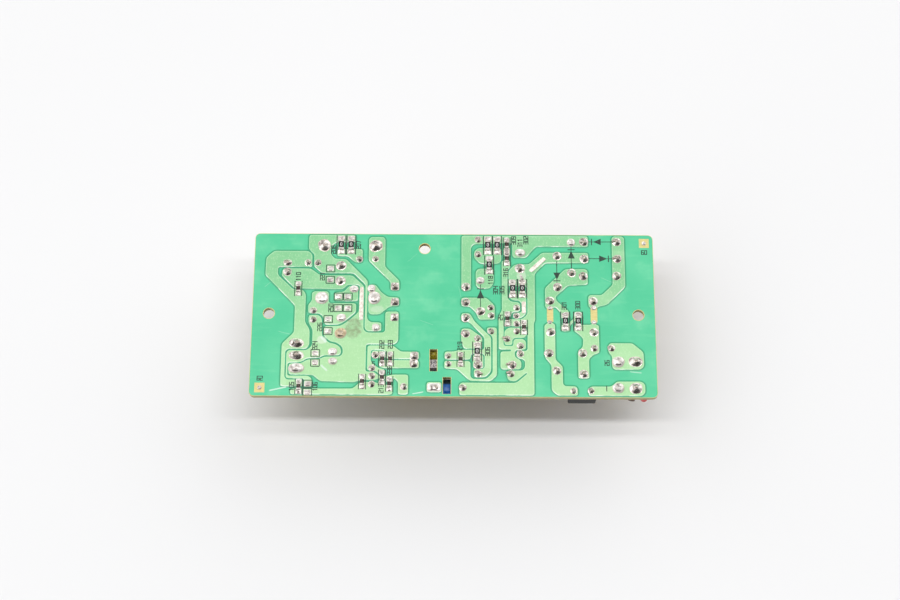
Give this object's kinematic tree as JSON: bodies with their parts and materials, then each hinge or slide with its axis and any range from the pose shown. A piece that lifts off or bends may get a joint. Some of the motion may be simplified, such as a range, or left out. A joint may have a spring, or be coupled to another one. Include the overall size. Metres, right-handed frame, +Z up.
{
  "type": "power supply board",
  "caption": "Open-frame power supply board, solder side up, that turns mains voltage into low direct voltage, with its transformer, filter choke, capacitors and diodes hanging below.",
  "frame": {"origin": "on the surface that the board lies on, under the middle of the laminate", "axes": "+X along the board towards the mains end, +Y across it towards the edge with the rectifier joints, +Z up out of the solder face"},
  "size_m": [0.12, 0.052, 0.0253],
  "materials": {
    "laminate": "pressed paper laminate under green lacquer",
    "lacquered_copper": "copper foil under green solder lacquer",
    "solder": "satin solder with flux marks",
    "chip_glaze": "glazed ceramic",
    "chip_plating": "tinned ends",
    "ferrite": "sintered, matte",
    "bobbin_black": "moulded phenolic",
    "bobbin_pale": "moulded nylon",
    "yellow_tape": "polyester tape",
    "tinned_wire": "tinned wire",
    "can_aluminium": "drawn aluminium",
    "dark_sleeve": "shrink sleeve",
    "bung_rubber": "moulded rubber",
    "enamelled_copper": "enamelled wire",
    "yellow_case": "moulded case",
    "casting_resin": "cast resin",
    "fuse_plastic": "moulded",
    "green_coating": "dipped coating",
    "blue_coating": "dipped coating",
    "ochre_coating": "dipped coating",
    "diode_moulding": "moulded epoxy",
    "resistor_lacquer": "lacquer",
    "pale_moulding": "moulded epoxy",
    "choke_sleeve": "shrink sleeve",
    "nylon": "moulded nylon",
    "wire_insulation": "soft insulation",
    "bare_strands": "twisted strands"
  },
  "bodies": {
    "root": {"board": "laminate", "copper_tracks": "lacquered_copper", "tinned_areas": "solder", "solder_joints": "solder", "chip_solder": "solder", "large_chip_bodies": "chip_glaze", "large_chip_ends": "chip_plating", "small_chip_bodies": "chip_glaze", "small_chip_ends": "chip_plating", "transformer_core_left": "ferrite", "transformer_core_right": "ferrite", "transformer_bobbin": "bobbin_black", "transformer_winding": "yellow_tape", "transformer_tape": "yellow_tape", "transformer_pins": "tinned_wire", "bulk_capacitor_can": "can_aluminium", "bulk_capacitor_sleeve": "dark_sleeve", "bulk_capacitor_bung": "bung_rubber", "bulk_capacitor_leads": "tinned_wire", "small_capacitor_cans": "can_aluminium", "small_capacitor_sleeves": "dark_sleeve", "small_capacitor_bungs": "bung_rubber", "small_capacitor_leads": "tinned_wire", "mains_choke_core": "ferrite", "mains_choke_bobbin": "bobbin_pale", "mains_choke_windings": "enamelled_copper", "mains_choke_pins": "tinned_wire", "suppression_capacitor_cases": "yellow_case", "suppression_capacitor_resin": "casting_resin", "suppression_capacitor_leads": "tinned_wire", "fuse_cap": "fuse_plastic", "fuse_base": "fuse_plastic", "fuse_leads": "tinned_wire", "thermistor_disc": "green_coating", "thermistor_leads": "tinned_wire", "varistor_disc": "blue_coating", "varistor_leads": "tinned_wire", "rectifier_bodies": "diode_moulding", "rectifier_leads": "tinned_wire", "output_diode_bodies": "diode_moulding", "output_diode_leads": "tinned_wire", "safety_capacitor_disc": "blue_coating", "safety_capacitor_leads": "tinned_wire", "disc_capacitor_bodies": "ochre_coating", "disc_capacitor_leads": "tinned_wire", "axial_resistor_body": "resistor_lacquer", "axial_resistor_leads": "tinned_wire", "control_chip_body": "diode_moulding", "control_chip_legs": "tinned_wire", "optocoupler_body": "pale_moulding", "optocoupler_legs": "tinned_wire", "regulator_body": "diode_moulding", "regulator_legs": "tinned_wire", "output_choke_bodies": "choke_sleeve", "output_choke_leads": "tinned_wire", "jumper_wires": "tinned_wire", "header_housing": "nylon", "header_pins": "tinned_wire", "input_wire_insulation": "wire_insulation", "input_wire_strands": "bare_strands"}
  },
  "joints": []
}
